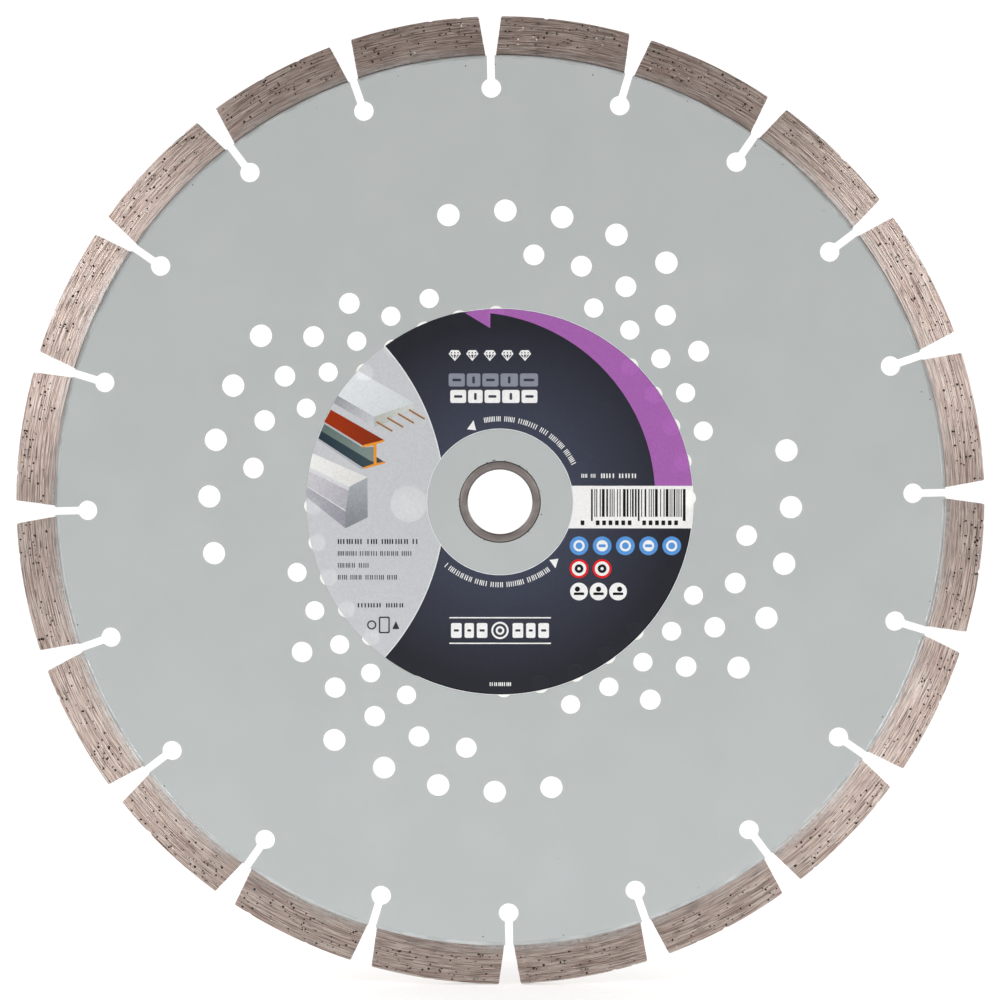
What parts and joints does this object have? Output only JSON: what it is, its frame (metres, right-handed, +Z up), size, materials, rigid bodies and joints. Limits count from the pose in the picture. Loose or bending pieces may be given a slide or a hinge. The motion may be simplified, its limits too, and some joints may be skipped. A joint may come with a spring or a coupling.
{
  "type": "diamond blade",
  "caption": "Flat segmented diamond saw blade: slotted and perforated steel core, welded sintered segments, reducing ring in the bore and a round label on one face.",
  "frame": {"origin": "centre of the bore, halfway through the thickness of the steel core", "axes": "+Y along the axis of spin, out of the plain back face; the labelled face looks along -Y; +Z up as the label reads"},
  "size_m": [0.3, 0.0028, 0.3],
  "materials": {
    "core_paint": "satin light grey paint",
    "sintered_metal": "ground sintered metal with diamond grit",
    "ring_steel": "dull machined steel",
    "label_film": "printed self-adhesive film"
  },
  "bodies": {
    "blade": {"steel_core": "core_paint", "diamond_segment_01": "sintered_metal", "diamond_segment_02": "sintered_metal", "diamond_segment_03": "sintered_metal", "diamond_segment_04": "sintered_metal", "diamond_segment_05": "sintered_metal", "diamond_segment_06": "sintered_metal", "diamond_segment_07": "sintered_metal", "diamond_segment_08": "sintered_metal", "diamond_segment_09": "sintered_metal", "diamond_segment_10": "sintered_metal", "diamond_segment_11": "sintered_metal", "diamond_segment_12": "sintered_metal", "diamond_segment_13": "sintered_metal", "diamond_segment_14": "sintered_metal", "diamond_segment_15": "sintered_metal", "diamond_segment_16": "sintered_metal", "diamond_segment_17": "sintered_metal", "diamond_segment_18": "sintered_metal", "diamond_segment_19": "sintered_metal", "diamond_segment_20": "sintered_metal", "printed_label": "label_film"},
    "ring": {"reducing_ring": "ring_steel"}
  },
  "joints": [
    {"name": "reducing_ring_push_out", "type": "slide", "parent": "blade", "child": "ring", "axis": [0, 1, 0], "range_m": [-0.012, 0.012]}
  ]
}
